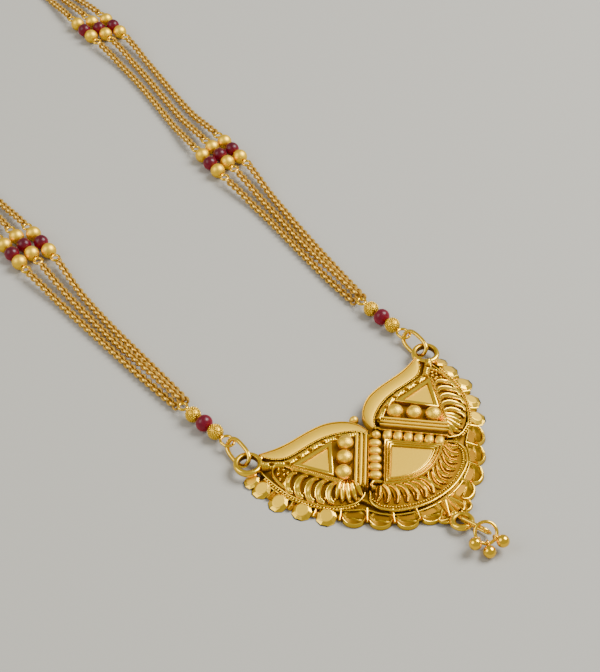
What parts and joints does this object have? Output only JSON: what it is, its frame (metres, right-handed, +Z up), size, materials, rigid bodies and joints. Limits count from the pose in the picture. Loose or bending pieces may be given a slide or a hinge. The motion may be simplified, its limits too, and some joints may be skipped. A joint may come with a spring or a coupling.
{
  "type": "three-strand pendant necklace",
  "caption": "Gold necklace lying flat: parallel cable chains with gold and red bead stations, a leaf-shaped pendant with a petal edge and a small beaded drop.",
  "frame": {"origin": "on the table, under the middle of the pendant's flat back, on the pendant's line of symmetry", "axes": "+Y from the pendant towards the clasp, +X to the right when seen from above with the pendant at the bottom, +Z up from the table"},
  "size_m": [0.0646, 0.2516, 0.0047],
  "materials": {
    "gold": "satin yellow gold with polished ridges",
    "chain_gold": "fine cable links of yellow gold",
    "ruby": "polished dark red stone"
  },
  "bodies": {
    "root": {"clasp": "gold", "drop_ball_1": "gold", "drop_ball_2": "gold", "drop_ball_3": "gold", "drop_link": "gold", "drop_ring": "gold", "left_bead_pins_1": "gold", "left_bead_pins_2": "gold", "left_bead_pins_3": "gold", "left_end_ring": "gold", "left_front_pin": "gold", "left_front_ruby": "ruby", "left_gold_beads_1": "gold", "left_gold_beads_2": "gold", "left_gold_beads_3": "gold", "left_lower_grain_bead": "gold", "left_lug_ring": "gold", "left_ruby_beads_1": "ruby", "left_ruby_beads_2": "ruby", "left_ruby_beads_3": "ruby", "left_strands_1": "chain_gold", "left_strands_2": "chain_gold", "left_strands_3": "chain_gold", "left_strands_4": "chain_gold", "left_upper_grain_bead": "gold", "pendant": "gold", "right_bead_pins_1": "gold", "right_bead_pins_2": "gold", "right_bead_pins_3": "gold", "right_end_ring": "gold", "right_front_pin": "gold", "right_front_ruby": "ruby", "right_gold_beads_1": "gold", "right_gold_beads_2": "gold", "right_gold_beads_3": "gold", "right_lower_grain_bead": "gold", "right_lug_ring": "gold", "right_ruby_beads_1": "ruby", "right_ruby_beads_2": "ruby", "right_ruby_beads_3": "ruby", "right_strands_1": "chain_gold", "right_strands_2": "chain_gold", "right_strands_3": "chain_gold", "right_strands_4": "chain_gold", "right_upper_grain_bead": "gold"}
  },
  "joints": []
}
